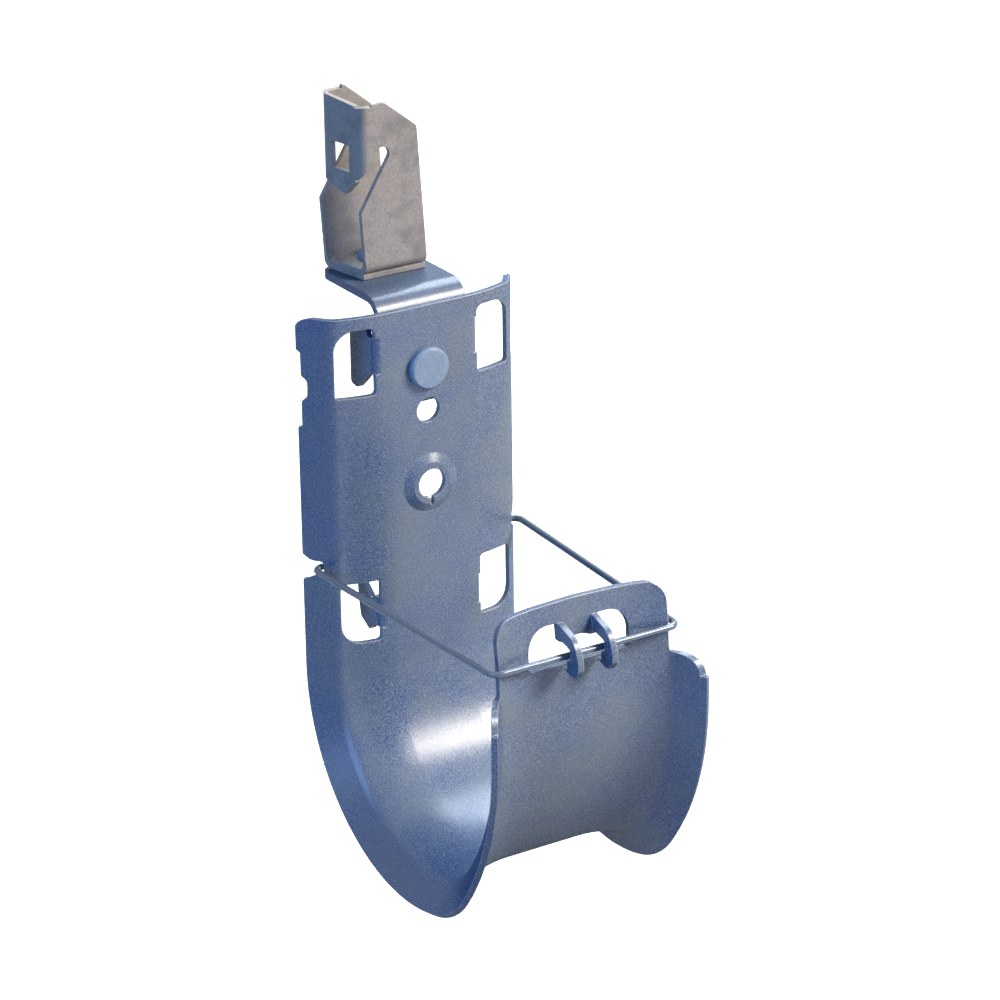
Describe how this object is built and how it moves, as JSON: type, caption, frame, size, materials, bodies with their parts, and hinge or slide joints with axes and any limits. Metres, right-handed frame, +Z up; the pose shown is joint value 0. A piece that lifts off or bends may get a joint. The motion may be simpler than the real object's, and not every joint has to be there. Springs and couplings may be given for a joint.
{
  "type": "j hook cable support",
  "caption": "Steel J hook for cable bundles: wide flared cradle with a sprung wire retainer, riveted angle bracket and hammer-on flange clip.",
  "frame": {"origin": "on the axis of the screw hole in the back plate, halfway along the wall of the hole", "axes": "+Z up along the back plate, -Y towards the front lip, +X across the hook to the right seen from the front"},
  "size_m": [0.0474, 0.083, 0.1447],
  "materials": {
    "galvanised_sheet": "pre-galvanised sheet, satin, fine spangle",
    "spring_wire": "drawn spring wire, darker, lightly oiled",
    "bracket_steel": "zinc plated strip, satin",
    "rivet_steel": "zinc plated, upset",
    "spring_steel": "hardened spring steel, matt warm grey"
  },
  "bodies": {
    "clip": {"flange_clip": "spring_steel"},
    "hook": {"hook_body": "galvanised_sheet", "angle_bracket": "bracket_steel", "bracket_rivet": "rivet_steel", "clip_rivet": "rivet_steel"},
    "retainer": {"wire_retainer": "spring_wire"}
  },
  "joints": [
    {"name": "hook_swivel", "type": "hinge", "parent": "clip", "child": "hook", "pos_m": [0.0005, 0.0179, 0.0381], "axis": [0, 0, 1], "continuous": true},
    {"name": "retainer_hinge", "type": "hinge", "parent": "hook", "child": "retainer", "pos_m": [0, 0.0058, -0.0145], "axis": [-1, 0, 0], "range_deg": [0, 80]}
  ]
}
